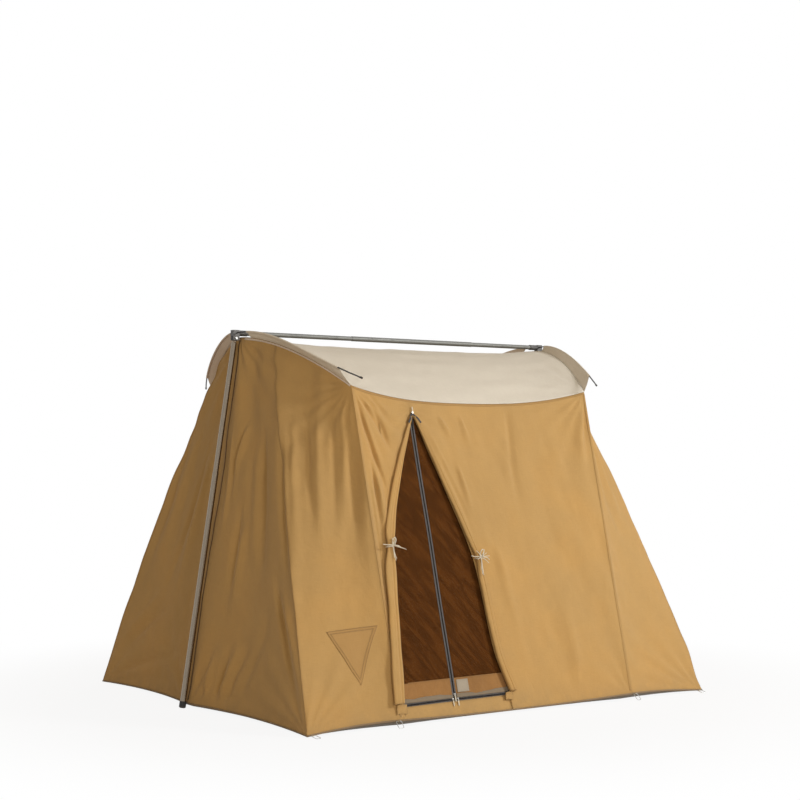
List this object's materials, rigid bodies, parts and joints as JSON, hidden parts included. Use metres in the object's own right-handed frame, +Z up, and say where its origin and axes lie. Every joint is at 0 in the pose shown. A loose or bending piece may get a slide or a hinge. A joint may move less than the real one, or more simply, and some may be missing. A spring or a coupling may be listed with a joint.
{
  "type": "ridge tent",
  "caption": "Family ridge tent in tan cotton canvas with a cream domed roof on bow rods, a ridge pole, sloping uprights and a zipped screen door.",
  "frame": {"origin": "on the ground, in the middle of the base", "axes": "+Z up, +X along the ridge pole, -Y out through the door"},
  "size_m": [2.7696, 2.3612, 1.996],
  "materials": {
    "canvas": "tan cotton canvas, plain weave, matt",
    "roof_canvas": "undyed cream cotton canvas, plain weave, matt",
    "sleeve_canvas": "brown cotton canvas doubled as a rod sleeve",
    "kick_canvas": "rust-brown coated cloth band",
    "floor_vinyl": "brown coated floor cloth",
    "insect_mesh": "fine dark brown mesh",
    "zip_tape": "grey woven tape with a black coil",
    "cotton_tie": "cream cotton cord",
    "steel_tube": "drawn steel tube, satin",
    "hub_steel": "dark grey pressed steel",
    "spring_steel": "spring steel rod",
    "ring_wire": "bent steel wire",
    "zip_metal": "plated zinc",
    "zip_pull": "plated pressed metal",
    "foot_rubber": "black rubber"
  },
  "bodies": {
    "tent": {"front_wall_left": "canvas", "front_wall_right": "canvas", "rear_wall": "canvas", "door_sill": "canvas", "end_wall_left": "canvas", "end_wall_right": "canvas", "gusset_front_left": "canvas", "gusset_front_right": "canvas", "gusset_rear_left": "canvas", "gusset_rear_right": "canvas", "door_flap_left": "canvas", "door_flap_right": "canvas", "screen_binding_left": "canvas", "screen_binding_right": "canvas", "roof_panel": "roof_canvas", "overhang_left_front": "sleeve_canvas", "overhang_left_rear": "sleeve_canvas", "overhang_right_front": "sleeve_canvas", "overhang_right_rear": "sleeve_canvas", "floor_sheet": "floor_vinyl", "zip_tape_bottom": "zip_tape", "tie_left": "cotton_tie", "tie_right": "cotton_tie", "ridge_pole_left": "steel_tube", "ridge_pole_middle": "steel_tube", "ridge_pole_right": "steel_tube", "pivot_pin_left": "steel_tube", "pivot_pin_right": "steel_tube", "hub_left": "hub_steel", "hub_right": "hub_steel", "bow_rod_left_front": "spring_steel", "bow_rod_left_rear": "spring_steel", "bow_rod_right_front": "spring_steel", "bow_rod_right_rear": "spring_steel"},
    "upright_left": {"upright_upper_left": "steel_tube"},
    "upright_right": {"upright_upper_right": "steel_tube"},
    "lower_tube_left": {"upright_lower_left": "steel_tube", "foot_cap_left": "foot_rubber"},
    "lower_tube_right": {"upright_lower_right": "steel_tube", "foot_cap_right": "foot_rubber"},
    "screen_half_left": {"screen_left": "insect_mesh", "kick_band_left": "kick_canvas", "zip_tape_left": "zip_tape"},
    "screen_half_right": {"screen_right": "insect_mesh", "kick_band_right": "kick_canvas", "zip_tape_right": "zip_tape"},
    "zip_slider_vertical": {"slider_vertical": "zip_metal"},
    "zip_slider_left": {"slider_left": "zip_metal"},
    "zip_slider_right": {"slider_right": "zip_metal"},
    "zip_pull_vertical": {"pull_vertical": "zip_pull"},
    "zip_pull_left": {"pull_left": "zip_pull"},
    "zip_pull_right": {"pull_right": "zip_pull"},
    "stake_ring_front_left_corner": {"ring_front_left_corner": "ring_wire"},
    "stake_ring_front_left_seam": {"ring_front_left_seam": "ring_wire"},
    "stake_ring_front_right_corner": {"ring_front_right_corner": "ring_wire"},
    "stake_ring_front_right_seam": {"ring_front_right_seam": "ring_wire"},
    "stake_ring_rear_left_corner": {"ring_rear_left_corner": "ring_wire"},
    "stake_ring_rear_left_seam": {"ring_rear_left_seam": "ring_wire"},
    "stake_ring_rear_right_corner": {"ring_rear_right_corner": "ring_wire"},
    "stake_ring_rear_right_seam": {"ring_rear_right_seam": "ring_wire"}
  },
  "joints": [
    {"name": "upright_left_swing", "type": "hinge", "parent": "tent", "child": "upright_left", "pos_m": [-1.0615, 0, 1.952], "axis": [0, 1, 0], "range_deg": [0, 80]},
    {"name": "upright_right_swing", "type": "hinge", "parent": "tent", "child": "upright_right", "pos_m": [1.0615, 0, 1.952], "axis": [0, -1, 0], "range_deg": [0, 80]},
    {"name": "lower_tube_left_slide", "type": "slide", "parent": "upright_left", "child": "lower_tube_left", "axis": [0.1551, 0, 0.9879], "range_m": [0, 0.5]},
    {"name": "lower_tube_right_slide", "type": "slide", "parent": "upright_right", "child": "lower_tube_right", "axis": [-0.1551, 0, 0.9879], "range_m": [0, 0.5]},
    {"name": "screen_left_swing", "type": "hinge", "parent": "tent", "child": "screen_half_left", "pos_m": [-0.746, -1.0938, 0.103], "axis": [0.0875, 0.2628, 0.9609], "range_deg": [0, 110]},
    {"name": "screen_right_swing", "type": "hinge", "parent": "tent", "child": "screen_half_right", "pos_m": [-0.028, -1.05956, 0.103], "axis": [0.0864, -0.2551, -0.9631], "range_deg": [0, 110]},
    {"name": "zip_vertical_slide", "type": "slide", "parent": "tent", "child": "zip_slider_vertical", "axis": [-0.0124, 0.2593, 0.9657], "range_m": [0, 1.25]},
    {"name": "zip_left_slide", "type": "slide", "parent": "tent", "child": "zip_slider_left", "axis": [-0.9989, -0.0476, 0], "range_m": [0, 0.28]},
    {"name": "zip_right_slide", "type": "slide", "parent": "tent", "child": "zip_slider_right", "axis": [0.9989, 0.0476, 0], "range_m": [0, 0.29]},
    {"name": "pull_vertical_swing", "type": "hinge", "parent": "zip_slider_vertical", "child": "zip_pull_vertical", "pos_m": [-0.39566, -1.08039, 0.12004], "axis": [-0.9989, -0.0476, 0], "range_deg": [0, 150]},
    {"name": "pull_left_swing", "type": "hinge", "parent": "zip_slider_left", "child": "zip_pull_left", "pos_m": [-0.41166, -1.08694, 0.09854], "axis": [-0.9989, -0.0476, 0], "range_deg": [0, 150]},
    {"name": "pull_right_swing", "type": "hinge", "parent": "zip_slider_right", "child": "zip_pull_right", "pos_m": [-0.37966, -1.08541, 0.09854], "axis": [-0.9989, -0.0476, 0], "range_deg": [0, 150]},
    {"name": "stake_ring_front_left_corner_swing", "type": "hinge", "parent": "tent", "child": "stake_ring_front_left_corner", "pos_m": [-1.27092, -1.13636, 0.01002], "axis": [-0.9928, -0.1196, 0], "range_deg": [0, 100]},
    {"name": "stake_ring_front_left_seam_swing", "type": "hinge", "parent": "tent", "child": "stake_ring_front_left_seam", "pos_m": [-0.78213, -1.13784, 0.03202], "axis": [-0.9921, 0.1255, 0], "range_deg": [0, 100]},
    {"name": "stake_ring_front_right_corner_swing", "type": "hinge", "parent": "tent", "child": "stake_ring_front_right_corner", "pos_m": [1.27092, -1.13636, 0.01002], "axis": [-0.9928, 0.1196, 0], "range_deg": [0, 100]},
    {"name": "stake_ring_front_right_seam_swing", "type": "hinge", "parent": "tent", "child": "stake_ring_front_right_seam", "pos_m": [0.78213, -1.13784, 0.03202], "axis": [-0.9921, -0.1255, 0], "range_deg": [0, 100]},
    {"name": "stake_ring_rear_left_corner_swing", "type": "hinge", "parent": "tent", "child": "stake_ring_rear_left_corner", "pos_m": [-1.27092, 1.13636, 0.01002], "axis": [0.9928, -0.1196, 0], "range_deg": [0, 100]},
    {"name": "stake_ring_rear_left_seam_swing", "type": "hinge", "parent": "tent", "child": "stake_ring_rear_left_seam", "pos_m": [-0.78213, 1.13784, 0.03202], "axis": [0.9921, 0.1255, 0], "range_deg": [0, 100]},
    {"name": "stake_ring_rear_right_corner_swing", "type": "hinge", "parent": "tent", "child": "stake_ring_rear_right_corner", "pos_m": [1.27092, 1.13636, 0.01002], "axis": [0.9928, 0.1196, 0], "range_deg": [0, 100]},
    {"name": "stake_ring_rear_right_seam_swing", "type": "hinge", "parent": "tent", "child": "stake_ring_rear_right_seam", "pos_m": [0.78213, 1.13784, 0.03202], "axis": [0.9921, -0.1255, 0], "range_deg": [0, 100]}
  ]
}
